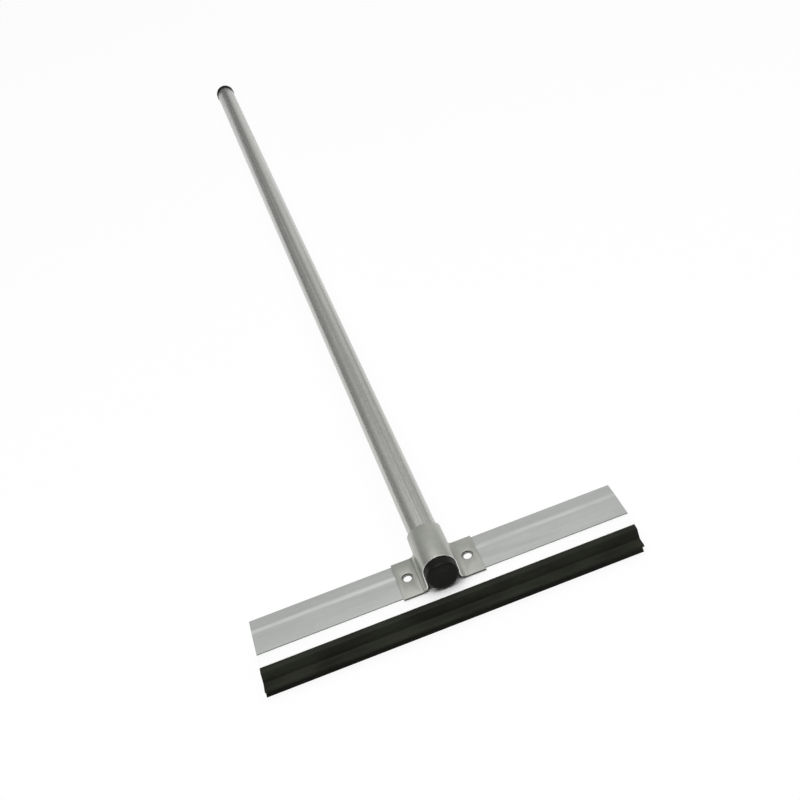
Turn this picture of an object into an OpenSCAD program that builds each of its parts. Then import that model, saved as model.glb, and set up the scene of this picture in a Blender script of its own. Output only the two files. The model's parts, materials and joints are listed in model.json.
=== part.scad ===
// Floor squeegee: a folded metal plate on a white channel with a slide-on rubber blade, and a
// round tube handle held on the plate by a pressed saddle. Lengths are in millimetres.
// Frame: +X along the head, +Y along the handle away from the head, +Z out of the head's plate.
// The origin is midway between the two saddle holes, on the upper face of the plate.

/* [Handle] */
// Outside diameter of the handle tube
tube_d = 32; // [25:0.5:40]
// Wall of the handle tube
tube_wall = 1.2; // [0.8:0.1:2.5]
// Length of the handle tube
tube_len = 1478.5; // [900:0.5:1800]
// How far the tube's lower end lies below the saddle holes
tube_drop = 26.1; // [24:0.1:28]

/* [Head plate] */
// Length of the head plate and of the channel under it
head_len = 408; // [250:1:750]
// Thickness of the plate
plate_t = 1; // [0.8:0.1:1.5]
// Height of the plate's flat lower strip
plate_flat_h = 32; // [32:0.5:40]
// Height of the plate's upper strip, above the crease
plate_top_h = 15.4; // [12:0.1:30]
// Angle at which the upper strip leans back
crease_angle = 5; // [2:0.5:8]
// Radius of the crease, on the upper face
crease_r = 30; // [20:1:50]
// Distance from the plate's lower edge to the saddle holes
hole_rise = 24.6; // [23:0.1:26]

/* [Blade channel] */
// Thickness of the channel's sheet
channel_t = 2; // [1.5:0.1:2.5]
// Depth of the front strip, below the plate's lower edge
strip_depth = 17.2; // [14:0.1:24]
// How far the channel laps under the plate
channel_lap = 18; // [12:0.5:18]
// Angle between the blade and the plate
blade_angle = 56; // [50:1:65]
// Distance from the strip's front edge back to the middle of the rail
rail_set_back = 2.1; // [1.9:0.1:2.3]
// Depth of the rail, to the middle of its bead
rail_depth = 12.5; // [11:0.1:14]
// Thickness of the rail
rail_t = 2; // [1.5:0.1:2.4]
// Diameter of the bead along the rail's edge
bead_d = 5; // [4.4:0.1:5.4]

/* [Rubber blade] */
// Length of the rubber blade
blade_len = 411; // [250:1:760]
// How far the blade sits off the head's middle
blade_shift = -2; // [-4:0.5:4]
// Thickness of the blade's grip over its shoulders
shoulder_t = 14.4; // [12:0.1:15]
// Depth of the grip's shoulders
shoulder_depth = 4.5; // [4:0.1:6]
// Thickness of the grip at the roots of the side lips
grip_t = 7.4; // [7:0.1:9]
// Clearance of the blade's slot round the rail
slot_gap = 0.1; // [0.05:0.01:0.15]
// Depth at which the side lips leave the grip
lip_root = 16; // [15.6:0.1:18]
// How far a side lip drops to its tip
lip_drop = 5.2; // [4:0.1:8]
// How far a side lip flares out from the grip
lip_flare = 7.7; // [4:0.1:9]
// Thickness of a side lip at its tip
lip_t = 2.6; // [2:0.1:4.2]
// Depth of the wiping edge
edge_depth = 30.7; // [28:0.1:36]
// Thickness of the wiping edge
edge_t = 3.8; // [3:0.1:4.2]

/* [Saddle] */
// Thickness of the saddle's sheet
saddle_t = 1.5; // [1.2:0.1:2]
// Width over the saddle's flanges
saddle_w = 90; // [84:1:110]
// Inside radius of the bends between flange and arch
saddle_bend = 5.5; // [3:0.1:6]
// How far the flanges reach below the holes
flange_below = 28; // [25:0.5:30]
// How far the arch's lower rim stops short of the flanges' lower edge
crown_back = 7; // [4:0.5:13]
// How far the arch reaches past the flanges' upper edge at its sides
arch_past = 12; // [4:0.5:16]
// How far the arch reaches past the flanges' upper edge at its crown
crown_past = 6; // [2:0.5:12]
// Clearance between the saddle and the lower cap
saddle_gap = 0.05; // [0.02:0.01:0.1]
// Distance between the two saddle holes
hole_spacing = 67; // [66:0.5:70]
// Diameter of the saddle's holes
saddle_hole_d = 12; // [11:0.5:13]
// Diameter of the holes under the saddle's
plate_hole_d = 9; // [8:0.5:10.5]

/* [Lower cap] */
// Wall of the cap, round the tube's lower end
cap_wall = 1.15; // [1:0.05:1.5]
// Clearance between the cap and the tube
cap_gap = 0.05; // [0.02:0.01:0.1]
// Thickness of the cap's closed end
cap_floor = 7; // [4.6:0.1:8]
// Radius round the edge of the cap's closed end
cap_edge_r = 3; // [2:0.1:4.5]
// How far the cap's wall reaches above the saddle holes
cap_rise = 20; // [10:0.5:24]

/* [Upper plug] */
// How far the plug's head stands out past the tube all round
plug_lip = 1.2; // [0.5:0.1:2]
// Length of the plug's head, outside the tube
plug_head_h = 13.5; // [6:0.5:20]
// Radius round the edge of the plug's head
plug_edge_r = 4.5; // [2:0.5:6]
// Length of the plug's shank, inside the tube
plug_shank_h = 15; // [10:0.5:15]
// Diameter of the plug's core
plug_core_d = 24; // [16:0.5:24]
// Number of ribs on the plug's shank
plug_ribs = 3; // [2:1:4]
// Thickness of a rib
rib_t = 1.6; // [1:0.1:2.4]
// Clearance between a rib and the tube's bore
rib_gap = 0.05; // [0.02:0.01:0.1]

/* [Handle screw] */
// Distance from the saddle holes up to the screw
screw_y = 2.5; // [2.5:0.1:3.5]
// Diameter of the screw's shank
screw_d = 3.9; // [3.5:0.1:4.2]
// Length of the screw under its head
screw_len = 10; // [8:0.5:12]
// Diameter of the screw's head
screw_head_d = 8; // [7:0.1:9]
// Height of the screw's head
screw_head_h = 2.8; // [2:0.1:3.5]
// Clearance of the screw in the plate
screw_gap = 0.25; // [0.1:0.05:0.5]
// Clearance of the screw in the cap and in the tube's wall
thread_gap = 0.05; // [0.02:0.01:0.1]
// Width of the screw's cross recess
recess_w = 1.1; // [0.8:0.1:1.4]
// Length of the screw's cross recess
recess_len = 4.4; // [3:0.1:5]
// Depth of the screw's cross recess
recess_depth = 1.5; // [1:0.1:1.8]

/* [Hidden] */
$fn = 96;
// Fullness left at the blade's neck, and overshoot of a cut
neck = 0.5;
cut = 1;
// Facets along the crease, and round the channel's front edge
bend_steps = 6;
edge_steps = 8;
// Head
plate_low = -hole_rise;
crease_y = plate_low + plate_flat_h;
plate_high = crease_y + crease_r * sin(crease_angle) + plate_top_h * cos(crease_angle);
strip_front = plate_low - strip_depth;
channel_back = plate_low + channel_lap;
head_t = plate_t + channel_t;
// Tube and saddle
tube_r = tube_d / 2;
bore_r = tube_r - tube_wall;
plug_r = tube_r + plug_lip;
cap_in = tube_r + cap_gap;
cap_out = cap_in + cap_wall;
arch_in = cap_out + saddle_gap;
arch_out = arch_in + saddle_t;
axis_z = arch_in;
tube_low = -tube_drop;
cap_low = tube_low - cap_floor;
tube_high = tube_low + tube_len;
flange_high = plate_high;
arch_high = flange_high + arch_past;
bend_x = arch_out + saddle_bend;
bend_z = saddle_t + saddle_bend;
arch_top = axis_z + arch_out + cut;
// Blade: depths run down the blade, widths out from its middle plane
slot_half = rail_t / 2 + slot_gap;
keyhole_r = bead_d / 2 + slot_gap;
grip_half = grip_t / 2;
rail_root = channel_t / sin(blade_angle) - (rail_set_back + rail_t / 2) / tan(blade_angle);
sheet_foot = (channel_t + slot_gap) / sin(blade_angle);
shoulder_in = sheet_foot - (rail_set_back - slot_half) / tan(blade_angle);
shoulder_half = shoulder_t / 2;
edge_r = channel_t / 2;
rib_in = rail_set_back - edge_r * (sin(blade_angle) + cos(blade_angle) - 1) + slot_gap;
rib_foot = sheet_foot - (rail_set_back - rib_in) / tan(blade_angle);
lip_tip = [lip_root + lip_drop, grip_half + lip_flare];
lip_under = [lip_tip.x + lip_t, lip_tip.y];
lip_inner = [lip_root + lip_t * 1.3, edge_t / 2 + neck];

plate_grey = [0.71, 0.72, 0.70];
channel_white = [0.95, 0.95, 0.96];
tube_grey = [0.66, 0.66, 0.64];
saddle_grey = [0.61, 0.61, 0.58];
plug_black = [0.07, 0.07, 0.07];
cap_black = [0.08, 0.08, 0.07];
rubber_black = [0.13, 0.13, 0.12];
screw_grey = [0.75, 0.75, 0.76];

// Extrudes an outline in Y and Z along X, centred
module along_x(length) {
    rotate([90, 0, 90])
        linear_extrude(length, center = true)
            children();
}

// Extrudes an outline in X and Z along Y, from low to high
module along_y(low, high) {
    translate([0, high, 0])
        rotate([90, 0, 0])
            linear_extrude(high - low)
                children();
}

// Stands a shape made along Z on the tube's axis, pointing up the handle
module on_axis(y) {
    translate([0, y, axis_z])
        rotate([-90, 0, 0])
            children();
}

// Puts an outline in the blade's own axes: depth, then width towards the back
module blade_axes() {
    translate([strip_front, -plate_t])
        rotate(180 + blade_angle)
            translate([0, rail_set_back])
                children();
}

// Points along an arc, in the order from one angle to the other
function arc(centre, r, first, last, steps) =
    [for (i = [0 : steps]) let (a = first + (last - first) * i / steps) centre + r * [cos(a), sin(a)]];

// A point given by its depth and width in the blade's axes
function blade_point(depth, width) =
    [strip_front, -plate_t]
    + depth * [-cos(blade_angle), -sin(blade_angle)]
    + (width + rail_set_back) * [sin(blade_angle), -cos(blade_angle)];

// Plate: its flat strip, the soft crease and the upper strip that leans back
module plate_outline() {
    centre = [crease_y, -crease_r];
    lean = [plate_top_h * cos(crease_angle), -plate_top_h * sin(crease_angle)];
    outer = arc(centre, crease_r, 90, 90 - crease_angle, bend_steps);
    inner = arc(centre, crease_r - plate_t, 90 - crease_angle, 90, bend_steps);
    polygon(concat(
        [[plate_low, -plate_t], [plate_low, 0]],
        outer,
        [outer[bend_steps] + lean, inner[0] + lean],
        inner
    ));
}

// Channel: a strip under the plate, rounded at its front edge, and the rail for the blade
module channel_outline() {
    edge_width = edge_r * (sin(blade_angle) + cos(blade_angle)) - rail_set_back;
    edge_turn = asin((-rail_t / 2 - edge_width) / edge_r);
    polygon(concat(
        [[channel_back, -plate_t], [channel_back, -head_t]],
        [blade_point(rail_root, rail_t / 2)],
        [blade_point(rail_depth, rail_t / 2), blade_point(rail_depth, -rail_t / 2)],
        arc([strip_front + edge_r, -plate_t - edge_r], edge_r,
            180 + blade_angle + edge_turn, 90, edge_steps)
    ));
}

// Rolled bead along the rail's edge, which the rubber slides on to
module bead() {
    middle = blade_point(rail_depth, 0);
    translate([-head_len / 2, middle.x, middle.y])
        rotate([0, 90, 0])
            cylinder(h = head_len, d = bead_d);
}

// Holes through the plate: one under each saddle hole, and the screw's
module plate_holes() {
    for (side = [-1, 1])
        translate([side * hole_spacing / 2, 0, -plate_t - cut])
            cylinder(h = plate_t + 2 * cut, d = plate_hole_d);
    translate([0, screw_y, -plate_t - cut])
        cylinder(h = plate_t + 2 * cut, d = screw_d + 2 * screw_gap);
}

module head_plate() {
    color(plate_grey)
        difference() {
            along_x(head_len)
                plate_outline();
            plate_holes();
        }
}

module blade_channel() {
    color(channel_white)
        union() {
            along_x(head_len)
                channel_outline();
            bead();
        }
}

// Half of the rubber's section: rib in front of the channel's edge, shoulder, side lip, wiping edge
function blade_half() = [
    [shoulder_in, slot_half],
    [rib_foot, rib_in],
    [slot_gap, rib_in],
    [shoulder_depth, shoulder_half],
    [lip_root, grip_half],
    lip_tip,
    lip_under,
    lip_inner,
    [edge_depth, edge_t / 2]
];

function mirrored(points) = [for (i = [len(points) - 1 : -1 : 0]) [points[i].x, -points[i].y]];

module rubber_blade() {
    color(rubber_black)
        translate([blade_shift, 0, 0])
            along_x(blade_len)
                blade_axes()
                    difference() {
                        polygon(concat(blade_half(), mirrored(blade_half())));
                        translate([0, -slot_half])
                            square([rail_depth, 2 * slot_half]);
                        translate([rail_depth, 0])
                            circle(keyhole_r);
                    }
}

// One side of the saddle's section: arch wall, bend and flange
module saddle_side_outline() {
    translate([arch_in, bend_z])
        square([saddle_t, axis_z - bend_z]);
    intersection() {
        translate([bend_x, bend_z])
            difference() {
                circle(saddle_bend + saddle_t);
                circle(saddle_bend);
            }
        translate([arch_in, 0])
            square([bend_x - arch_in, bend_z]);
    }
    translate([bend_x, 0])
        square([saddle_w / 2 - bend_x, saddle_t]);
}

module saddle_outline() {
    translate([0, axis_z])
        intersection() {
            difference() {
                circle(arch_out);
                circle(arch_in);
            }
            translate([-arch_out, 0])
                square([2 * arch_out, arch_out]);
        }
    saddle_side_outline();
    mirror([1, 0])
        saddle_side_outline();
}

// Side outline that trims the saddle: the arch stands further up the handle than the flanges
module saddle_trim() {
    polygon([
        [-flange_below, -cut],
        [flange_high, -cut],
        [flange_high, bend_z],
        [arch_high, axis_z],
        [flange_high + crown_past, arch_top],
        [-flange_below + crown_back, arch_top],
        [-flange_below + crown_back, axis_z],
        [-flange_below, saddle_t + cut]
    ]);
}

module saddle() {
    color(saddle_grey)
        difference() {
            intersection() {
                along_y(-flange_below, arch_high)
                    saddle_outline();
                along_x(saddle_w + 2 * cut)
                    saddle_trim();
            }
            for (side = [-1, 1])
                translate([side * hole_spacing / 2, 0, -cut])
                    cylinder(h = saddle_t + 2 * cut, d = saddle_hole_d);
        }
}

// Hole for the screw, in the lower side of the cap and of the tube
module screw_hole() {
    translate([0, screw_y, -cut])
        cylinder(h = axis_z - tube_r + tube_wall + 2 * cut, d = screw_d + 2 * thread_gap);
}

module handle_tube() {
    color(tube_grey)
        difference() {
            on_axis(tube_low)
                cylinder(h = tube_len, r = tube_r);
            on_axis(tube_low - cut)
                cylinder(h = tube_len + 2 * cut, r = bore_r);
            screw_hole();
        }
}

// Plug in the tube's upper end: a rounded head on a ribbed shank
module upper_plug() {
    rib_pitch = (plug_shank_h - rib_t) / plug_ribs;
    color(plug_black)
        on_axis(tube_high)
            rotate_extrude() {
                square([plug_r - plug_edge_r, plug_head_h]);
                square([plug_r, plug_head_h - plug_edge_r]);
                translate([plug_r - plug_edge_r, plug_head_h - plug_edge_r])
                    intersection() {
                        circle(plug_edge_r);
                        square(plug_edge_r);
                    }
                translate([0, -plug_shank_h])
                    square([plug_core_d / 2, plug_shank_h]);
                for (i = [1 : plug_ribs])
                    translate([0, -i * rib_pitch - rib_t])
                        square([bore_r - rib_gap, rib_t]);
            }
}

// Cap over the tube's lower end, inside the saddle's arch
module lower_cap() {
    color(cap_black)
        difference() {
            on_axis(cap_low)
                rotate_extrude() {
                    square([cap_out - cap_edge_r, cap_rise - cap_low]);
                    translate([0, cap_edge_r])
                        square([cap_out, cap_rise - cap_low - cap_edge_r]);
                    translate([cap_out - cap_edge_r, cap_edge_r])
                        mirror([0, 1])
                            intersection() {
                                circle(cap_edge_r);
                                square(cap_edge_r);
                            }
                }
            on_axis(tube_low)
                cylinder(h = cap_rise - tube_low + cut, r = cap_in);
            screw_hole();
        }
}

// Pan-head screw from under the plate, through the cap, into the tube's wall
module handle_screw() {
    color(screw_grey)
        translate([0, screw_y, -plate_t])
            difference() {
                union() {
                    cylinder(h = screw_len - screw_d / 2, d = screw_d);
                    translate([0, 0, screw_len - screw_d / 2])
                        cylinder(h = screw_d / 2, d1 = screw_d, d2 = screw_d / 4);
                    rotate_extrude()
                        intersection() {
                            translate([0, -screw_head_h])
                                square([screw_head_d / 2, screw_head_h]);
                            translate([0, screw_head_d - screw_head_h])
                                circle(screw_head_d);
                        }
                }
                for (turn = [0, 90])
                    rotate(turn)
                        translate([-recess_len / 2, -recess_w / 2, -screw_head_h - cut])
                            cube([recess_len, recess_w, recess_depth + cut]);
            }
}

head_plate();
blade_channel();
rubber_blade();
saddle();
handle_tube();
upper_plug();
lower_cap();
handle_screw();
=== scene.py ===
"""Dresses the floor squeegee: modelled sheet, rubber, tube and end pieces, their finishes, and the studio."""

import json
import math

import bpy
from bpy.props import FloatProperty, FloatVectorProperty, IntProperty, PointerProperty
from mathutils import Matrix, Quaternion, Vector


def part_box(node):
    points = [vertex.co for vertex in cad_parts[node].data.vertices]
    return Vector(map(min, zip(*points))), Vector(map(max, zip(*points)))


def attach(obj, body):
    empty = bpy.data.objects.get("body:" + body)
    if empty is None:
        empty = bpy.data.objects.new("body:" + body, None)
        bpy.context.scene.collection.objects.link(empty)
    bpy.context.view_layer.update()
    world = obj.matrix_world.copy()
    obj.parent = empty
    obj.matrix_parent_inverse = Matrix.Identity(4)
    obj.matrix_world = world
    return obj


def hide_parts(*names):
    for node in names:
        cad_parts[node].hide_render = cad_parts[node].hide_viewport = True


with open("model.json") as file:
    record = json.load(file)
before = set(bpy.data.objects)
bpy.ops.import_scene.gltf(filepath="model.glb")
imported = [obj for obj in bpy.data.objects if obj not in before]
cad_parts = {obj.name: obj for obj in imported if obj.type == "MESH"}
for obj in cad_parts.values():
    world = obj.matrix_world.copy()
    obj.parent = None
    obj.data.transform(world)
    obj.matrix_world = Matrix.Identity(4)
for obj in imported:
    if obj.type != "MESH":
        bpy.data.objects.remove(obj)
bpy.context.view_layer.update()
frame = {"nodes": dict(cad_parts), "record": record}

bl_info = {
    "name": "Floor Squeegee",
    "version": (1, 0, 0),
    "blender": (4, 5, 0),
    "location": "3D View > Sidebar > Squeegee",
    "description": "Models a floor squeegee round its packed frame and lights it in a white studio",
    "category": "Object",
}

MM = 0.001
FRAME_BODY = "squeegee_frame"
BLADE_BODY = "blade"
HOLES = next(m for m in frame["record"]["mounts"] if m["name"] == "saddle_holes")["dims"]
HALF_SPACING = HOLES["spacing_x_mm"] / 2 * MM
HOLE_PLACES = ((-HALF_SPACING, 0), (HALF_SPACING, 0))
PLATE_HOLE = 2 * HOLES["hole_r_mm"] * MM

# How finely curves are cut, and how sharp edges are eased
CORNER_STEPS = 5
CREASE_STEPS = 8
DRILL_STEPS = 64
DRILL_DEPTH = 20 * MM
EASE_WIDTH = 0.2 * MM
EASE_STEPS = 3
SMOOTH_ANGLE = math.radians(35)
MERGE_REACH = 0.002 * MM

# How rough the noises in the finishes are
NOISE_ROUGHNESS = 0.55

# The rubber's heel behind a lip: its depth in lip thicknesses, and how far it spreads past the wiping edge
HEEL_DROP = 1.3
HEEL_SPREAD = 0.5 * MM

# The studio, in metres and watts
FLOOR_SIZE = 40
FLOOR_GAP = 0.05 * MM
FLOOR_GLOW = 0.93
WALL_HEIGHT = 4
WALL_REACH = 22
LAMP_SIZE = 1.8
LAMP_AIM = Vector((0, 0, 0))
LAMPS = (
    ("key_lamp", Vector((-0.5, -0.25, 2.5)), 33),
    ("fill_lamp", Vector((1.0, -0.25, 2.4)), 16),
)
ROOM_TINT = (1.0, 1.0, 0.985)

# The camera, as fitted to the photograph
CAMERA_PLACE = Vector((-74.9, -847.6, 856.1)) * MM
CAMERA_AIM = Vector((43.1, 295.2, 0)) * MM
CAMERA_ROLL = math.radians(-16.70)
FOCAL_PIXELS = 1145.5
PICTURE_PIXELS = 800
SENSOR_WIDTH = 36
CAMERA_CLIP = (0.01, 100)


def length(name, description, default):
    """A size in millimetres, kept in metres."""
    return FloatProperty(name=name, description=description, default=default * MM, unit="LENGTH", precision=5)


def angle(name, description, default):
    """An angle in degrees, kept in radians."""
    return FloatProperty(name=name, description=description, default=math.radians(default), subtype="ANGLE")


def colour(name, description, default):
    """A linear colour."""
    return FloatVectorProperty(
        name=name, description=description, default=default, subtype="COLOR", min=0, max=1
    )


class SqueegeeSizes(bpy.types.PropertyGroup):
    """Sizes that the frame's boxes don't give."""

    plate_thickness: length("Plate thickness", "Thickness of the head plate", 1)
    crease_rise: length("Crease rise", "From the plate's lower edge to its crease", 32)
    crease_radius: length("Crease radius", "Radius of the soft crease", 30)
    crease_lean: angle("Crease lean", "How far the upper strip leans back", 5)
    channel_thickness: length("Channel thickness", "Thickness of the channel's sheet", 2)
    strip_depth: length("Strip depth", "Bright strip below the plate's lower edge", 17.2)
    blade_lean: angle("Blade lean", "Angle between the blade and the plate", 56)
    rail_set_back: length("Rail set-back", "From the strip's front edge to the rail's middle", 2.1)
    rail_depth: length("Rail depth", "Depth of the rail to the middle of its bead", 12.5)
    rail_thickness: length("Rail thickness", "Thickness of the rail", 2)
    bead_diameter: length("Bead diameter", "Bead along the rail's edge", 5)
    slot_gap: length("Slot gap", "Clearance of the rubber round the rail", 0.1)
    shoulder_thickness: length("Shoulder thickness", "Thickness of the rubber's grip over its shoulders", 14.4)
    shoulder_depth: length("Shoulder depth", "Depth of the grip's shoulders", 4.5)
    grip_thickness: length("Grip thickness", "Thickness of the rubber's grip at its lips", 7.4)
    lip_root: length("Lip root", "Depth at which the side lips leave the grip", 16)
    lip_drop: length("Lip drop", "How far a side lip drops to its tip", 5.2)
    lip_flare: length("Lip flare", "How far a side lip flares out", 7.7)
    lip_thickness: length("Lip thickness", "Thickness of a side lip at its tip", 2.6)
    edge_depth: length("Edge depth", "Depth of the wiping edge", 30.7)
    edge_thickness: length("Edge thickness", "Thickness of the wiping edge", 3.8)
    end_slant: angle("End slant", "How far the rubber's left end is cut off the square", 6)
    saddle_thickness: length("Saddle thickness", "Thickness of the saddle's sheet", 1.5)
    saddle_bend: length("Saddle bend", "Inside radius of the saddle's bends", 5.5)
    flange_high: length("Flange top", "From the holes up to the flanges' upper edge", 25.36)
    rim_back: length("Rim set-back", "How far the arch's lower rim stops short of the flanges below", 7)
    rim_rise: length("Rim rise", "Height at which the lower rim starts to slant back", 2.5)
    crown_past: length("Crown reach", "How far the crown reaches past the flanges above", 6)
    saddle_hole: length("Saddle hole", "Diameter of the saddle's holes", 12)
    tube_wall: length("Tube wall", "Wall of the handle tube", 1.2)
    screw_rise: length("Screw rise", "From the saddle holes up to the screw", 2.5)
    screw_hole: length("Screw hole", "Diameter of the screw's hole in the plate", 4.4)
    cap_floor: length("Cap end", "Thickness of the lower cap's closed end", 7)
    cap_bore: length("Cap bore", "Radius of the lower cap's bore", 16.05)
    cap_edge: length("Cap edge", "Radius round the edge of the lower cap", 3)
    plug_edge: length("Plug edge", "Radius round the edge of the plug's head", 4.5)
    end_dish: length("End dish", "Radius of the shallow dish in the cap's and the plug's end", 9.5)
    dish_depth: length("Dish depth", "Depth of the dish", 0.5)
    dish_slope: length("Dish slope", "Width of the slope round the dish", 1.2)
    plug_shank: length("Plug shank", "Length of the plug's shank", 15)
    plug_gap: length("Plug gap", "Clearance of the plug's ribs in the tube", 0.05)
    rib_reach: length("Rib reach", "How far the plug's ribs stand out of its core", 2.8)
    rib_thickness: length("Rib thickness", "Thickness of one of the plug's ribs", 1.6)
    plug_ribs: IntProperty(name="Plug ribs", description="Ribs on the plug's shank", default=3, min=1)
    round_steps: IntProperty(name="Round steps", description="Faces round a small corner", default=16, min=4)


class SqueegeeColours(bpy.types.PropertyGroup):
    """Colours of the finishes, linear."""

    plate: colour("Head plate", "Dull zinc of the head plate", (0.44, 0.452, 0.44))
    channel: colour("Blade channel", "White coat of the channel", (0.96, 0.965, 0.965))
    saddle: colour("Saddle", "Pressed zinc of the saddle", (0.47, 0.48, 0.445))
    tube: colour("Tube", "Drawn metal of the handle", (0.62, 0.62, 0.60))
    plug: colour("Plugs", "Black plastic of the cap and the plug", (0.0046, 0.0049, 0.0034))
    rubber: colour("Rubber", "Black rubber of the blade", (0.0125, 0.0138, 0.0096))
    screw: colour("Screw", "Bright zinc of the screw", (0.75, 0.75, 0.76))
    floor: colour("Floor", "White of the floor", (0.94, 0.94, 0.94))


def chosen(context):
    """The sizes and the colours that the pieces are made with."""
    return context.scene.squeegee_sizes, context.scene.squeegee_colours


def strip_front(sizes):
    """How far forward the channel's bright strip reaches."""
    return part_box("head_plate")[0].y - sizes.strip_depth


def round_box(node):
    """A round node's radius, the height of its axis, and its two ends."""
    low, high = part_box(node)
    return (high.x - low.x) / 2, (low.z + high.z) / 2, low.y, high.y


def deselect():
    """Leaves nothing selected, so that an operator acts only on its own piece."""
    bpy.ops.object.select_all(action="DESELECT")


def arc(centre, radius, first, last, steps):
    """Points of an arc in the plane, from one angle in radians to another."""
    turns = [first + (last - first) * i / steps for i in range(steps + 1)]
    return [(centre[0] + radius * math.cos(t), centre[1] + radius * math.sin(t)) for t in turns]


def softened(corners):
    """Points of a closed outline whose corners, given as (x, y, cut), are rounded off by cut."""
    points = []
    for i, (x, y, cut) in enumerate(corners):
        here = Vector((x, y))
        if not cut:
            points.append((x, y))
            continue
        before = (Vector(corners[i - 1][:2]) - here).normalized() * cut
        after = (Vector(corners[(i + 1) % len(corners)][:2]) - here).normalized() * cut
        for k in range(CORNER_STEPS + 1):
            t = k / CORNER_STEPS
            points.append(tuple(here + before * (1 - t) ** 2 + after * t ** 2))
    return points


def select_all():
    """Selects the whole piece that is being edited."""
    bpy.ops.mesh.select_all(action="SELECT")


def close_mesh(merge=False):
    """Merges points that meet, if asked to, turns the faces outwards and leaves edit mode."""
    select_all()
    if merge:
        bpy.ops.mesh.remove_doubles(threshold=MERGE_REACH)
    bpy.ops.mesh.normals_make_consistent(inside=False)
    bpy.ops.object.mode_set(mode="OBJECT")


def draw(points):
    """Draws a chain of edges through the points, in the piece that is being edited."""
    bpy.ops.mesh.primitive_plane_add(size=MM)
    bpy.ops.mesh.merge(type="CENTER")
    bpy.ops.transform.translate(value=points[0])
    for here, there in zip(points, points[1:]):
        step = Vector(there) - Vector(here)
        bpy.ops.mesh.extrude_region_move(TRANSFORM_OT_translate={"value": step})


def begin(name):
    """An empty piece in edit mode, ready to be drawn in."""
    deselect()
    bpy.ops.mesh.primitive_plane_add(size=MM)
    piece = bpy.context.object
    piece.name = piece.data.name = name
    bpy.ops.object.mode_set(mode="EDIT")
    select_all()
    bpy.ops.mesh.delete(type="VERT")
    return piece


def extruded_bar(name, outline, low, high):
    """A solid bar along X with a closed outline in Y and Z."""
    piece = begin(name)
    draw([(low, y, z) for y, z in outline])
    select_all()
    bpy.ops.mesh.edge_face_add()
    select_all()
    bpy.ops.mesh.extrude_region_move(TRANSFORM_OT_translate={"value": (high - low, 0, 0)})
    close_mesh()
    return piece


def apply_modifier(piece, kind, **settings):
    """Adds one modifier to the piece and applies it."""
    bpy.context.view_layer.objects.active = piece
    made = piece.modifiers.new(kind.title(), kind)
    for key, value in settings.items():
        setattr(made, key, value)
    bpy.ops.object.modifier_apply(modifier=made.name)


def thicken(piece, thickness):
    """Gives a drawn sheet its thickness, on the side that its faces turn away from."""
    apply_modifier(piece, "SOLIDIFY", thickness=thickness, offset=-1, use_even_offset=True)


def drill(piece, places, diameter):
    """Drills holes through the piece along Z, each at its (x, y)."""
    for x, y in places:
        deselect()
        bpy.ops.mesh.primitive_cylinder_add(
            vertices=DRILL_STEPS, radius=diameter / 2, depth=DRILL_DEPTH, location=(x, y, 0)
        )
        drill_bit = bpy.context.object
        apply_modifier(piece, "BOOLEAN", object=drill_bit, operation="DIFFERENCE", solver="EXACT")
        deselect()
        drill_bit.select_set(True)
        bpy.ops.object.delete()


def ease_edges(piece, width=EASE_WIDTH, limit=40):
    """Rounds the edges sharper than a limit in degrees, and shades the rest smooth."""
    apply_modifier(
        piece,
        "BEVEL",
        width=width,
        segments=EASE_STEPS,
        limit_method="ANGLE",
        angle_limit=math.radians(limit),
        use_clamp_overlap=True,
    )
    deselect()
    piece.select_set(True)
    bpy.context.view_layer.objects.active = piece
    bpy.ops.object.shade_smooth_by_angle(angle=SMOOTH_ANGLE)


def fit(piece, body, slot, finish, *nodes):
    """Puts a finished piece on its body, in place of its nodes."""
    piece.data.materials.clear()
    piece.data.materials.append(finish)
    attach(piece, body)
    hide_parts(*nodes)


class Shade:
    """One socket of a material's nodes, on which arithmetic adds Math nodes."""

    def __init__(self, tree, socket=None):
        self.tree = tree
        self.socket = socket

    def node(self, kind, settings=None, sockets=None, output=0):
        """Any node: its type, then its settings, then the values or links of its sockets."""
        made = self.tree.nodes.new(kind)
        for key, value in (settings or {}).items():
            setattr(made, key, value)
        for key, value in (sockets or {}).items():
            if isinstance(value, Shade):
                self.tree.links.new(value.socket, made.inputs[key])
            else:
                made.inputs[key].default_value = value
        return Shade(self.tree, made.outputs[output])

    def maths(self, operation, *values):
        """A Math node on numbers and sockets."""
        return self.node("ShaderNodeMath", {"operation": operation}, dict(enumerate(values)))

    def __add__(self, other):
        return self.maths("ADD", self, other)

    def __radd__(self, other):
        return self.maths("ADD", other, self)

    def __sub__(self, other):
        return self.maths("SUBTRACT", self, other)

    def __rsub__(self, other):
        return self.maths("SUBTRACT", other, self)

    def __mul__(self, other):
        return self.maths("MULTIPLY", self, other)

    def __rmul__(self, other):
        return self.maths("MULTIPLY", other, self)

    def ramp(self, low, high, first, last):
        """Turns smoothly from a first value at low to a last one at high."""
        ends = {0: self, 1: low, 2: high, 3: first, 4: last}
        return self.node("ShaderNodeMapRange", {"interpolation_type": "SMOOTHSTEP"}, ends)

    def rise(self, low, high):
        """Climbs smoothly from 0 at low to 1 at high."""
        return self.ramp(low, high, 0.0, 1.0)

    def band(self, low, high, soft):
        """1 between low and high, fading to 0 over soft on either side."""
        return self.rise(low - soft, low) * self.ramp(high, high + soft, 1.0, 0.0)

    def blend(self, first, tint):
        """A colour that turns from another socket's, or a plain one, into a plain one, by this value."""
        ends = {0: self, 6: first, 7: (*tint, 1)}
        return self.node("ShaderNodeMix", {"data_type": "RGBA"}, ends, output=2)

    def tint(self, dark, light):
        """A colour between two plain ones, by this value."""
        return self.blend((*dark, 1), light)


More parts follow.
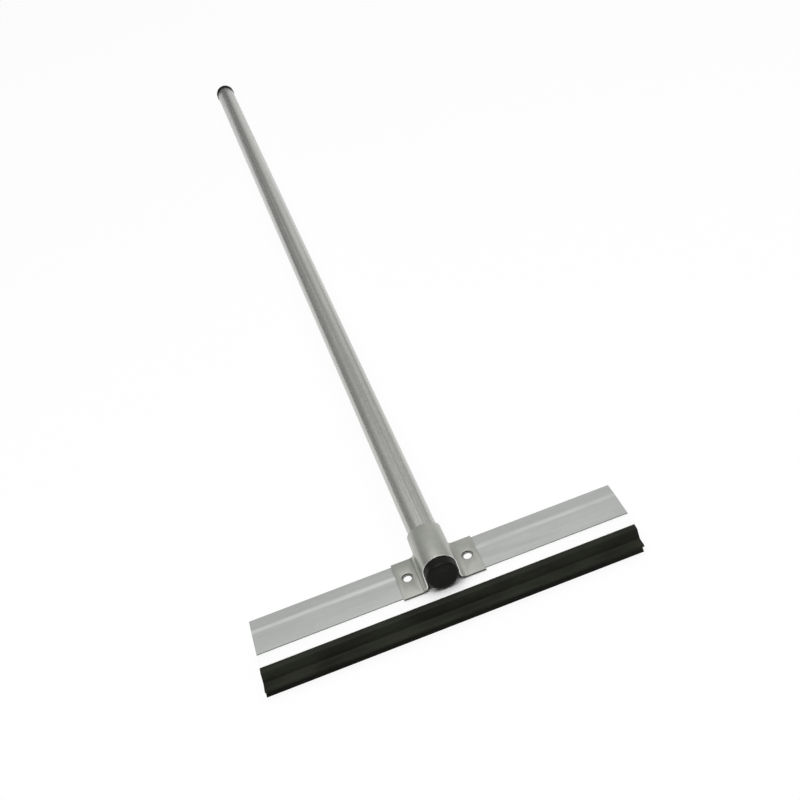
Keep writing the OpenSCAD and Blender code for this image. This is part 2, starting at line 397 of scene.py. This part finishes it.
class Finish:
    """A material under construction, with its Principled shader and its Object coordinates."""

    def __init__(self, name):
        self.material = bpy.data.materials.new(name)
        self.material.use_nodes = True
        self.tree = self.material.node_tree
        self.shader = self.tree.nodes["Principled BSDF"]
        self.start = Shade(self.tree)
        self.place = self.start.node("ShaderNodeTexCoord", output="Object")
        self.x, self.y, self.z = (
            self.start.node("ShaderNodeSeparateXYZ", sockets={0: self.place}, output=axis) for axis in range(3)
        )

    def noise(self, stretch, detail):
        """Noise between 0 and 1, with so many lumps a metre along each axis."""
        mapped = self.start.node("ShaderNodeMapping", sockets={"Vector": self.place, "Scale": stretch})
        sockets = {"Vector": mapped, "Scale": 1.0, "Detail": detail, "Roughness": NOISE_ROUGHNESS}
        return self.start.node("ShaderNodeTexNoise", sockets=sockets)

    def spangle(self, cells):
        """A value for each crystal of a zinc coat, with so many cells a metre."""
        sockets = {"Vector": self.place, "Scale": cells}
        cell = self.start.node("ShaderNodeTexVoronoi", {"feature": "F1"}, sockets, output="Color")
        return self.start.node("ShaderNodeSeparateColor", sockets={0: cell})

    def set(self, **values):
        """Sets constants on the shader's own sockets."""
        for name, value in values.items():
            self.shader.inputs[name.replace("_", " ")].default_value = value
        return self

    def link(self, name, shade):
        """Feeds one of the shader's sockets."""
        self.tree.links.new(shade.socket, self.shader.inputs[name])

    def bump(self, height, distance, strength):
        """Feeds the shader's normal from a height between 0 and 1."""
        sockets = {"Height": height, "Distance": distance, "Strength": strength}
        self.link("Normal", self.start.node("ShaderNodeBump", sockets=sockets))


def shaded(tint, share):
    """A colour times a share."""
    return tuple(channel * share for channel in tint)


def zinc_tone(finish, roughness):
    """Tone of dull zinc-coated sheet: crystals, lines along X and smudges. Sets roughness and bump too."""
    crystals = finish.spangle(210)
    rolling = finish.noise((3, 900, 900), detail=3)
    drag = finish.noise((5, 240, 240), detail=3).rise(0.3, 0.7)
    smudge = finish.noise((9, 22, 22), detail=5).rise(0.25, 0.75)
    finish.link("Roughness", roughness + smudge * 0.10 + rolling * 0.06)
    finish.bump(rolling * 0.6 + crystals * 0.4, 0.02 * MM, 0.35)
    return crystals * 0.16 + rolling * 0.16 + drag * 0.28 + smudge * 0.40


def hole_reach(finish):
    """Distance in plan from the middle of the nearer of the two saddle holes."""
    across = finish.x.maths("ABSOLUTE", finish.x) - HALF_SPACING
    return finish.x.maths("SQRT", across * across + finish.y * finish.y)


def plate_zinc(tint, lower_edge, crease, hole):
    """The head plate's sheet: dull zinc, a painted highlight along the crease, darker on its lower edge, and
    painted shade where it shows in the saddle's holes.
    """
    finish = Finish("dull_zinc")
    skin = zinc_tone(finish, 0.42).tint(shaded(tint, 0.90), shaded(tint, 1.08))
    # Painted highlight along the crease, strongest in patches
    highlight_patchiness = finish.noise((11, 60, 60), detail=3).rise(0.34, 0.66) * 0.55 + 0.25
    painted_bend_highlight = finish.y.band(crease - 1.2 * MM, crease + 1.2 * MM, 3 * MM)
    skin = (painted_bend_highlight * highlight_patchiness).blend(skin, shaded(tint, 1.40))
    # Darker along the lower edge
    darker_edge_and_hole_shade = finish.y.band(lower_edge - 5 * MM, lower_edge + 0.22 * MM, 0.1 * MM)
    # Painted shade where the plate shows in the saddle's holes
    painted_hole_shade = hole_reach(finish).band(-1.0, hole / 2, 0.2 * MM)
    darker_edge_and_hole_shade = darker_edge_and_hole_shade.maths("MAXIMUM", darker_edge_and_hole_shade, painted_hole_shade)
    finish.link("Base Color", darker_edge_and_hole_shade.blend(skin, shaded(tint, 0.5)))
    return finish.set(Metallic=0.3, Specular_IOR_Level=0.2).material


def pressed_zinc(tint, low, bend, rim_line, hole):
    """The saddle's sheet: dull zinc, a painted highlight and a line of painted shade on the left bend, a
    painted highlight on the arch's cut rim, dark cut edges on the flanges, and painted shade on the holes'
    walls.
    """
    finish = Finish("pressed_zinc")
    skin = zinc_tone(finish, 0.30).tint(shaded(tint, 0.90), shaded(tint, 1.08))
    # Painted highlight along the left bend, and a thin line of painted shade beside it
    painted_bend_highlight = finish.x.band(2.5 * MM - bend, 4.4 * MM - bend, 0.6 * MM)
    skin = (painted_bend_highlight * 0.8).blend(skin, shaded(tint, 1.45))
    painted_bend_shade = finish.x.band(1.3 * MM - bend, 1.7 * MM - bend, 0.4 * MM)
    skin = (painted_bend_shade * 0.6).blend(skin, shaded(tint, 0.35))
    # The cut rim of the arch gets a painted highlight, the flanges' cut edges are darker, and the holes' walls
    # get painted shade
    start, set_back, axis = rim_line
    wall = finish.z.rise(start, start + 2 * MM)
    slant = finish.z.maths("MINIMUM", (finish.z - start) * (set_back / (axis - start)), set_back)
    rim = (finish.y - slant - low).band(-2 * MM, 0.25 * MM, 0.1 * MM) * wall
    skin = rim.blend(skin, (0.9, 0.9, 0.88))
    edge = finish.y.band(low - 5 * MM, low + 0.22 * MM, 0.1 * MM) * (1 - wall)
    # Painted shade on the walls of the saddle's holes
    painted_hole_wall_shade = hole_reach(finish).band(-1.0, hole / 2 + 0.15 * MM, 0.1 * MM)
    edge = edge.maths("MAXIMUM", edge, painted_hole_wall_shade)
    finish.link("Base Color", edge.blend(skin, shaded(tint, 0.2)))
    return finish.set(Metallic=0.75, Specular_IOR_Level=0.2).material


def white_coat(tint):
    """White coat on the channel: a smooth satin skin with a faint grain."""
    finish = Finish("white_coat")
    cloud = finish.noise((14, 60, 60), detail=4)
    peel = finish.noise((420, 420, 420), detail=2)
    finish.link("Base Color", cloud.tint(shaded(tint, 0.975), tint))
    finish.link("Roughness", 0.30 + cloud * 0.10)
    finish.bump(peel, 0.03 * MM, 0.25)
    return finish.set(IOR=1.5).material


def drawn_metal(tint):
    """Drawn tube: fine lines and broader streaks that run the tube's whole length, and a speckle."""
    finish = Finish("drawn_metal")
    lines = finish.noise((1100, 1.5, 1100), detail=3)
    streaks = finish.noise((360, 0.8, 360), detail=2).rise(0.32, 0.68)
    smudge = finish.noise((30, 9, 30), detail=6)
    speckle = finish.noise((420, 130, 420), detail=3).rise(0.30, 0.70)
    tone = lines * 0.25 + streaks * 0.36 + smudge * 0.23 + speckle * 0.16
    finish.link("Base Color", tone.tint(shaded(tint, 0.61), shaded(tint, 1.12)))
    finish.link("Roughness", 0.18 + streaks * 0.09 + lines * 0.07 + speckle * 0.04)
    finish.bump(lines * 0.7 + streaks * 0.3, 0.02 * MM, 0.4)
    return finish.set(Metallic=0.82, Specular_IOR_Level=0.2).material


def black_rubber(tint):
    """Extruded rubber: lines along X, a dusty bloom and a fine grain."""
    finish = Finish("black_rubber")
    pulled = finish.noise((2, 700, 700), detail=3)
    bloom = finish.noise((16, 45, 45), detail=5).rise(0.30, 0.70)
    grain = finish.noise((2200, 2200, 2200), detail=2)
    tone = pulled * 0.18 + bloom * 0.70 + grain * 0.12
    finish.link("Base Color", tone.tint(shaded(tint, 0.45), shaded(tint, 2.0)))
    finish.link("Roughness", 0.46 + bloom * 0.18 + grain * 0.05)
    finish.bump(grain * 0.5 + pulled * 0.5, 0.03 * MM, 0.4)
    return finish.set(Specular_IOR_Level=0.12).material


def black_plastic(name, tint):
    """Moulded plastic with a fine spark-eroded grain."""
    finish = Finish(name)
    grain = finish.noise((1400, 1400, 1400), detail=2)
    rub = finish.noise((120, 120, 120), detail=4)
    finish.link("Base Color", (grain * 0.4 + rub * 0.6).tint(shaded(tint, 0.7), shaded(tint, 1.5)))
    finish.link("Roughness", 0.36 + rub * 0.16)
    finish.bump(grain, 0.03 * MM, 0.35)
    return finish.set(Specular_IOR_Level=0.14).material


def bright_zinc(tint):
    """Bright zinc of the screw, with turning marks and worn patches."""
    finish = Finish("bright_zinc")
    patch = finish.noise((500, 500, 500), detail=4)
    turned = finish.noise((250, 250, 3500), detail=2)
    finish.link("Base Color", patch.tint(shaded(tint, 0.82), shaded(tint, 1.1)))
    finish.link("Roughness", 0.22 + patch * 0.18 + turned * 0.06)
    finish.bump(turned, 0.02 * MM, 0.3)
    return finish.set(Metallic=1.0).material


def white_floor(tint, glow):
    """Matt floor with the faintest cloud in it, seen as nearly white by eye and in reflections."""
    finish = Finish("white_floor")
    cloud = finish.noise((0.8, 0.8, 0.8), detail=2)
    finish.link("Base Color", cloud.tint(shaded(tint, 0.995), tint))
    finish.set(Roughness=0.9, Specular_IOR_Level=0.0)
    rays = ("Is Camera Ray", "Is Glossy Ray", "Is Transmission Ray")
    seen = sum(finish.start.node("ShaderNodeLightPath", output=ray) for ray in rays)
    white = finish.start.node("ShaderNodeEmission", sockets={"Color": (1, 1, 1, 1), "Strength": 1.0})
    matt = Shade(finish.tree, finish.shader.outputs[0])
    mixed = finish.start.node("ShaderNodeMixShader", sockets={0: seen * glow, 1: matt, 2: white})
    finish.tree.links.new(mixed.socket, finish.tree.nodes["Material Output"].inputs["Surface"])
    return finish.material


def blade_place(sizes, front, depth, width):
    """The (y, z) of a point given down the blade and out from its middle plane."""
    sine, cosine = math.sin(sizes.blade_lean), math.cos(sizes.blade_lean)
    across = width + sizes.rail_set_back
    return (
        front - depth * cosine + across * sine,
        -sizes.plate_thickness - depth * sine - across * cosine,
    )


class SQUEEGEE_OT_head_plate(bpy.types.Operator):
    """Folds the head plate: flat strip, soft crease and upper strip"""

    bl_idname = "squeegee.head_plate"
    bl_label = "Head Plate"

    def execute(self, context):
        sizes, colours = chosen(context)
        low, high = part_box("head_plate")
        crease = low.y + sizes.crease_rise
        lean = math.pi / 2 - sizes.crease_lean
        middle = (crease, -sizes.crease_radius)
        profile = [(low.y, 0)] + arc(middle, sizes.crease_radius, math.pi / 2, lean, CREASE_STEPS)
        rest = (high.y - profile[-1][0]) / math.sin(lean)
        profile.append((high.y, profile[-1][1] - rest * math.cos(lean)))
        plate = begin("head_plate_sheet")
        draw([(high.x, y, z) for y, z in profile])
        select_all()
        bpy.ops.mesh.extrude_region_move(TRANSFORM_OT_translate={"value": (low.x - high.x, 0, 0)})
        close_mesh()
        if plate.data.polygons[0].normal.z < 0:
            plate.data.flip_normals()
        thicken(plate, sizes.plate_thickness)
        drill(plate, HOLE_PLACES, PLATE_HOLE)
        drill(plate, [(0, sizes.screw_rise)], sizes.screw_hole)
        ease_edges(plate)
        finish = plate_zinc(colours.plate, low.y, crease, sizes.saddle_hole)
        fit(plate, FRAME_BODY, "galvanised_sheet", finish, "head_plate")
        return {"FINISHED"}


class SQUEEGEE_OT_blade_channel(bpy.types.Operator):
    """Folds the white channel under the plate, with the beaded rail for the rubber"""

    bl_idname = "squeegee.blade_channel"
    bl_label = "Blade Channel"

    def execute(self, context):
        sizes, colours = chosen(context)
        low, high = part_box("blade_channel")
        front = strip_front(sizes)
        top, under = -sizes.plate_thickness, -sizes.plate_thickness - sizes.channel_thickness
        half = sizes.rail_thickness / 2
        sine, tangent = math.sin(sizes.blade_lean), math.tan(sizes.blade_lean)
        # The rail's back leaves the sheet's underside at root, and its front the rounded edge at leave
        root = sizes.channel_thickness / sine - (sizes.rail_set_back + half) / tangent
        turn = math.asin(2 * half / sizes.bead_diameter)
        steps = 4 * sizes.round_steps
        bead = arc((sizes.rail_depth, 0), sizes.bead_diameter / 2, math.pi - turn, turn - math.pi, steps)
        edge = sizes.channel_thickness / 2
        edge_width = edge * (sine + sine / tangent) - sizes.rail_set_back
        leave = math.pi + sizes.blade_lean + math.asin((-half - edge_width) / edge)
        outline = [(high.y, top), (high.y, under), blade_place(sizes, front, root, half)]
        outline += [blade_place(sizes, front, depth, width) for depth, width in bead]
        outline += arc((front + edge, top - edge), edge, leave, math.pi / 2, sizes.round_steps)
        channel = extruded_bar("blade_channel_bar", outline, low.x, high.x)
        ease_edges(channel)
        fit(channel, FRAME_BODY, "white_sheet", white_coat(colours.channel), "blade_channel")
        return {"FINISHED"}


class SQUEEGEE_OT_rubber_blade(bpy.types.Operator):
    """Extrudes the rubber: a slotted grip, two flared lips and the wiping edge, with a slanted left end"""

    bl_idname = "squeegee.rubber_blade"
    bl_label = "Rubber Blade"

    def execute(self, context):
        sizes, colours = chosen(context)
        low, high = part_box("rubber_blade")
        front = strip_front(sizes)
        slot = sizes.rail_thickness / 2 + sizes.slot_gap
        keyhole = sizes.bead_diameter / 2 + sizes.slot_gap
        grip = sizes.grip_thickness / 2
        edge = sizes.edge_thickness / 2
        sine, tangent = math.sin(sizes.blade_lean), math.tan(sizes.blade_lean)
        foot = (sizes.channel_thickness + sizes.slot_gap) / sine
        rib = sizes.rail_set_back - sizes.channel_thickness / 2 * (sine + sine / tangent - 1) + sizes.slot_gap
        tip = (sizes.lip_root + sizes.lip_drop, grip + sizes.lip_flare)
        # Depth, width and rounding of one side's corners, from the slot to the wiping edge
        side = [
            (foot - (sizes.rail_set_back - slot) / tangent, slot, 0.2 * MM),
            (foot - (sizes.rail_set_back - rib) / tangent, rib, 0.1 * MM),
            (sizes.slot_gap, rib, 0.3 * MM),
            (sizes.shoulder_depth, sizes.shoulder_thickness / 2, 1.2 * MM),
            (sizes.lip_root, grip, 1.6 * MM),
            (*tip, 0.8 * MM),
            (tip[0] + sizes.lip_thickness, tip[1], 0.8 * MM),
            (sizes.lip_root + HEEL_DROP * sizes.lip_thickness, edge + HEEL_SPREAD, 1.5 * MM),
            (sizes.edge_depth, edge, 0.3 * MM),
        ]
        turn = math.asin(slot / keyhole)
        hole = arc((sizes.rail_depth, 0), keyhole, turn - math.pi, math.pi - turn, 4 * sizes.round_steps)
        mirrored = [(depth, -width, cut) for depth, width, cut in reversed(side)]
        section = softened(side + mirrored + [(depth, width, 0) for depth, width in hole])
        outline = [blade_place(sizes, front, depth, width) for depth, width in section]
        blade = extruded_bar("rubber_blade_strip", outline, low.x, high.x)
        # The slanted cut across the left end
        corner = Vector((low.x, *blade_place(sizes, front, sizes.edge_depth, 0)))
        down = Vector((0, -math.cos(sizes.blade_lean), -sine))
        across = Vector((math.cos(sizes.end_slant), 0, 0)) + down * math.sin(sizes.end_slant)
        bpy.ops.object.mode_set(mode="EDIT")
        select_all()
        bpy.ops.mesh.bisect(plane_co=corner, plane_no=across, use_fill=True, clear_inner=True)
        bpy.ops.object.mode_set(mode="OBJECT")
        ease_edges(blade, 0.25 * MM, limit=60)
        fit(blade, BLADE_BODY, "black_rubber", black_rubber(colours.rubber), "rubber_blade")
        return {"FINISHED"}


class SQUEEGEE_OT_saddle(bpy.types.Operator):
    """Presses the saddle: two drilled flanges and an arch whose rims slant"""

    bl_idname = "squeegee.saddle"
    bl_label = "Saddle"

    def execute(self, context):
        sizes, colours = chosen(context)
        low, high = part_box("saddle")
        sheet = sizes.saddle_thickness
        axis = round_box("handle_tube")[1]
        outside = high.z - axis
        bend_x, bend_z = outside + sizes.saddle_bend, sheet + sizes.saddle_bend
        bend = arc((bend_x, bend_z), sizes.saddle_bend, -math.pi / 2, -math.pi, sizes.round_steps // 2)
        crown = arc((0, axis), outside, 0, math.pi, 4 * sizes.round_steps)
        right = [(high.x, sheet)] + bend
        profile = right + crown + [(-x, z) for x, z in reversed(right)]

        def rim(z, start, flange, shoulder, top):
            """Where a rim lies at a height, from the flange by way of the shoulder to the crown."""
            if z <= start:
                return flange
            if z <= axis:
                return flange + (shoulder - flange) * (z - start) / (axis - start)
            return shoulder + (top - shoulder) * (z - axis) / outside

        front, back = low.y + sizes.rim_back, sizes.flange_high
        lower = [(x, rim(z, sizes.rim_rise, low.y, front, front), z) for x, z in profile]
        upper = [(x, rim(z, bend_z, back, high.y, back + sizes.crown_past), z) for x, z in profile]
        saddle = begin("saddle_pressing")
        draw(lower)
        draw(upper)
        select_all()
        bpy.ops.mesh.bridge_edge_loops()
        close_mesh(merge=True)
        top_face = max(saddle.data.polygons, key=lambda face: face.center.z)
        if top_face.normal.z < 0:
            saddle.data.flip_normals()
        thicken(saddle, sheet)
        drill(saddle, HOLE_PLACES, sizes.saddle_hole)
        ease_edges(saddle, 0.3 * MM)
        rim_line = (sizes.rim_rise, sizes.rim_back, axis)
        finish = pressed_zinc(colours.saddle, low.y, bend_x, rim_line, sizes.saddle_hole)
        fit(saddle, FRAME_BODY, "pressed_sheet", finish, "saddle")
        return {"FINISHED"}


class SQUEEGEE_OT_handle_tube(bpy.types.Operator):
    """Draws the handle tube, open at both ends"""

    bl_idname = "squeegee.handle_tube"
    bl_label = "Handle Tube"

    def execute(self, context):
        sizes, colours = chosen(context)
        low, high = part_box("handle_tube")
        deselect()
        bpy.ops.mesh.primitive_cylinder_add(
            vertices=8 * sizes.round_steps,
            radius=(high.x - low.x) / 2,
            depth=high.y - low.y,
            end_fill_type="NOTHING",
            location=(low + high) / 2,
            rotation=(math.pi / 2, 0, 0),
        )
        tube = bpy.context.object
        tube.name = tube.data.name = "handle_tube_drawn"
        bpy.ops.object.transform_apply(location=True, rotation=True, scale=True)
        thicken(tube, sizes.tube_wall)
        drill(tube, [(0, sizes.screw_rise)], sizes.screw_hole)
        ease_edges(tube)
        fit(tube, FRAME_BODY, "drawn_tube", drawn_metal(colours.tube), "handle_tube")
        return {"FINISHED"}


def turned(name, profile, seat, way, axis, steps):
    """A solid of revolution about the tube's axis, from (radius, height) points above its seat."""
    piece = begin(name)
    draw([(r, seat + way * y, axis) for r, y in profile])
    select_all()
    bpy.ops.mesh.spin(steps=6 * steps, angle=2 * math.pi, center=(0, seat, axis), axis=(0, 1, 0))
    close_mesh(merge=True)
    return piece


def domed_end(sizes, radius, top, edge):
    """Points from the middle of a closed end, over its shallow dish, to its rounded edge."""
    dish = sizes.end_dish
    return [
        (0, top - sizes.dish_depth),
        (dish - sizes.dish_slope, top - sizes.dish_depth),
        (dish, top),
        *arc((radius - edge, top - edge), edge, math.pi / 2, 0, sizes.round_steps),
    ]


class SQUEEGEE_OT_lower_cap(bpy.types.Operator):
    """Turns the black cap over the tube's lower end"""

    bl_idname = "squeegee.lower_cap"
    bl_label = "Lower Cap"

    def execute(self, context):
        sizes, colours = chosen(context)
        radius, axis, low, high = round_box("lower_cap")
        depth = high - low - sizes.cap_floor
        profile = domed_end(sizes, radius, sizes.cap_floor, sizes.cap_edge)
        profile += [(radius, -depth), (sizes.cap_bore, -depth), (sizes.cap_bore, 0), (0, 0)]
        cap = turned("lower_cap_moulding", profile, low + sizes.cap_floor, -1, axis, sizes.round_steps)
        drill(cap, [(0, sizes.screw_rise)], sizes.screw_hole)
        ease_edges(cap, limit=25)
        fit(cap, FRAME_BODY, "black_plastic", black_plastic("cap_plastic", colours.plug), "lower_cap")
        return {"FINISHED"}


class SQUEEGEE_OT_upper_plug(bpy.types.Operator):
    """Turns the black plug in the tube's upper end: rounded head and ribbed shank"""

    bl_idname = "squeegee.upper_plug"
    bl_label = "Upper Plug"

    def execute(self, context):
        sizes, colours = chosen(context)
        radius, axis, _, end = round_box("upper_plug")
        tube_radius, _, _, seat = round_box("handle_tube")
        bore = tube_radius - sizes.tube_wall - sizes.plug_gap
        core, rib = bore - sizes.rib_reach, sizes.rib_thickness
        pitch = (sizes.plug_shank - rib) / sizes.plug_ribs
        shank = [(radius, 0), (core, 0)]
        for i in range(sizes.plug_ribs):
            top = -(i + 1) * pitch
            shank += [(core, top), (bore, top), (bore, top - rib), (core, top - rib)]
        shank += [(0, -sizes.plug_shank)]
        profile = domed_end(sizes, radius, end - seat, sizes.plug_edge) + shank
        plug = turned("upper_plug_moulding", profile, seat, 1, axis, sizes.round_steps)
        ease_edges(plug, 0.25 * MM, limit=25)
        fit(plug, FRAME_BODY, "black_plastic", black_plastic("plug_plastic", colours.plug), "upper_plug")
        return {"FINISHED"}


class SQUEEGEE_OT_handle_screw(bpy.types.Operator):
    """Finishes the screw that holds the tube"""

    bl_idname = "squeegee.handle_screw"
    bl_label = "Handle Screw"

    def execute(self, context):
        screw = frame["nodes"]["handle_screw"]
        screw.data.materials.clear()
        screw.data.materials.append(bright_zinc(context.scene.squeegee_colours.screw))
        return {"FINISHED"}


class SQUEEGEE_OT_stage(bpy.types.Operator):
    """Sets the white floor, the soft studio light and the camera"""

    bl_idname = "squeegee.stage"
    bl_label = "Studio"

    def execute(self, context):
        self.lay_floor(context)
        self.light_room(context)
        self.place_camera(context)
        context.scene.view_settings.view_transform = "Standard"
        return {"FINISHED"}

    def lay_floor(self, context):
        """A floor that touches the rubber's back lip and the upper plug, as the tool lies at rest."""
        sizes, colours = chosen(context)
        blade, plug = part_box("rubber_blade")[0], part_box("upper_plug")
        lip = blade_place(
            sizes,
            strip_front(sizes),
            sizes.lip_root + sizes.lip_drop + sizes.lip_thickness,
            sizes.grip_thickness / 2 + sizes.lip_flare,
        )[0]
        rise = plug[0].z - blade.z
        tilt = math.atan2(rise, plug[1].y - sizes.plug_edge - lip)
        deselect()
        place = (0, lip, blade.z - FLOOR_GAP)
        bpy.ops.mesh.primitive_plane_add(size=FLOOR_SIZE, location=place, rotation=(tilt, 0, 0))
        floor = context.object
        floor.name = floor.data.name = "studio_floor"
        bpy.ops.object.transform_apply(location=True, rotation=True, scale=True)
        self.raise_wall(floor, 0, (0, 0, WALL_HEIGHT))
        self.raise_wall(floor, -1, (0, WALL_REACH, 0))
        self.raise_wall(floor, 1, (0, WALL_REACH, 0))
        floor.data.materials.append(white_floor(colours.floor, FLOOR_GLOW))

    def raise_wall(self, floor, side, way):
        """Pulls a far wall out of the floor's near edge, or of one end of it, for views from behind."""
        bpy.ops.object.mode_set(mode="EDIT")
        bpy.ops.mesh.select_mode(type="VERT")
        bpy.ops.mesh.select_all(action="DESELECT")
        bpy.ops.object.mode_set(mode="OBJECT")
        for vertex in floor.data.vertices:
            vertex.select = vertex.co.y < -FLOOR_SIZE / 4 and vertex.co.x * side >= 0
        bpy.ops.object.mode_set(mode="EDIT")
        bpy.ops.mesh.extrude_edges_move(TRANSFORM_OT_translate={"value": way})
        bpy.ops.object.mode_set(mode="OBJECT")

    def light_room(self, context):
        """A room that is dark behind the camera and lighter behind the handle, and two soft lamps overhead."""
        world = bpy.data.worlds.new("studio_room")
        context.scene.world = world
        world.use_nodes = True
        start = Shade(world.node_tree)
        way = start.node("ShaderNodeTexCoord", output="Generated")
        x, y, z = (start.node("ShaderNodeSeparateXYZ", sockets={0: way}, output=axis) for axis in range(3))
        # Light rises behind the handle, with a window to its right and a bright ceiling
        back = y.rise(-0.1, 0.6)
        window = x.rise(0.04, 0.24) * (1 - x.rise(0.28, 0.62) * 0.45) * (1 - z.rise(0.3, 0.7))
        ceiling = z.rise(0.74, 0.98)
        light = 0.16 + back * (z * 0.5 - 0.06) + back * window * 0.55 + ceiling * 0.6
        sky = light.tint((0, 0, 0), ROOM_TINT)
        background = world.node_tree.nodes["Background"]
        world.node_tree.links.new(sky.socket, background.inputs["Color"])
        background.inputs["Strength"].default_value = 1.0
        for name, place, watts in LAMPS:
            deselect()
            bpy.ops.object.light_add(type="AREA", location=place)
            lamp = context.object
            lamp.name = name
            lamp.data.shape = "DISK"
            lamp.data.size = LAMP_SIZE
            lamp.data.energy = watts
            lamp.rotation_euler = (LAMP_AIM - place).to_track_quat("-Z", "Y").to_euler()

    def place_camera(self, context):
        """The camera at the photograph's angle: its place, what it aims at, and its roll."""
        bpy.ops.object.camera_add(location=CAMERA_PLACE)
        camera = context.object
        camera.name = "studio_camera"
        camera.rotation_mode = "QUATERNION"
        level = (CAMERA_AIM - CAMERA_PLACE).to_track_quat("-Z", "Y")
        camera.rotation_quaternion = level @ Quaternion((0, 0, 1), CAMERA_ROLL)
        camera.data.sensor_width = SENSOR_WIDTH
        camera.data.lens = FOCAL_PIXELS / PICTURE_PIXELS * SENSOR_WIDTH
        camera.data.clip_start, camera.data.clip_end = CAMERA_CLIP
        context.scene.camera = camera


class SQUEEGEE_PT_sidebar(bpy.types.Panel):
    """Lists the pieces, their sizes and their colours"""

    bl_idname = "SQUEEGEE_PT_sidebar"
    bl_label = "Floor Squeegee"
    bl_space_type = "VIEW_3D"
    bl_region_type = "UI"
    bl_category = "Squeegee"

    def draw(self, context):
        for step in STEPS:
            self.layout.operator(step.bl_idname)
        for group in (context.scene.squeegee_sizes, context.scene.squeegee_colours):
            column = self.layout.column(align=True)
            for name in group.bl_rna.properties.keys():
                if name not in ("rna_type", "name"):
                    column.prop(group, name)


STEPS = (
    SQUEEGEE_OT_head_plate,
    SQUEEGEE_OT_blade_channel,
    SQUEEGEE_OT_rubber_blade,
    SQUEEGEE_OT_saddle,
    SQUEEGEE_OT_handle_tube,
    SQUEEGEE_OT_lower_cap,
    SQUEEGEE_OT_upper_plug,
    SQUEEGEE_OT_handle_screw,
    SQUEEGEE_OT_stage,
)
CLASSES = (SqueegeeSizes, SqueegeeColours, *STEPS, SQUEEGEE_PT_sidebar)


def register():
    for cls in CLASSES:
        bpy.utils.register_class(cls)
    bpy.types.Scene.squeegee_sizes = PointerProperty(type=SqueegeeSizes)
    bpy.types.Scene.squeegee_colours = PointerProperty(type=SqueegeeColours)


def unregister():
    del bpy.types.Scene.squeegee_colours
    del bpy.types.Scene.squeegee_sizes
    for cls in reversed(CLASSES):
        bpy.utils.unregister_class(cls)


def main():
    register()
    bpy.ops.squeegee.head_plate()
    bpy.ops.squeegee.blade_channel()
    bpy.ops.squeegee.rubber_blade()
    bpy.ops.squeegee.saddle()
    bpy.ops.squeegee.handle_tube()
    bpy.ops.squeegee.lower_cap()
    bpy.ops.squeegee.upper_plug()
    bpy.ops.squeegee.handle_screw()
    bpy.ops.squeegee.stage()


if __name__ == "__main__":
    main()
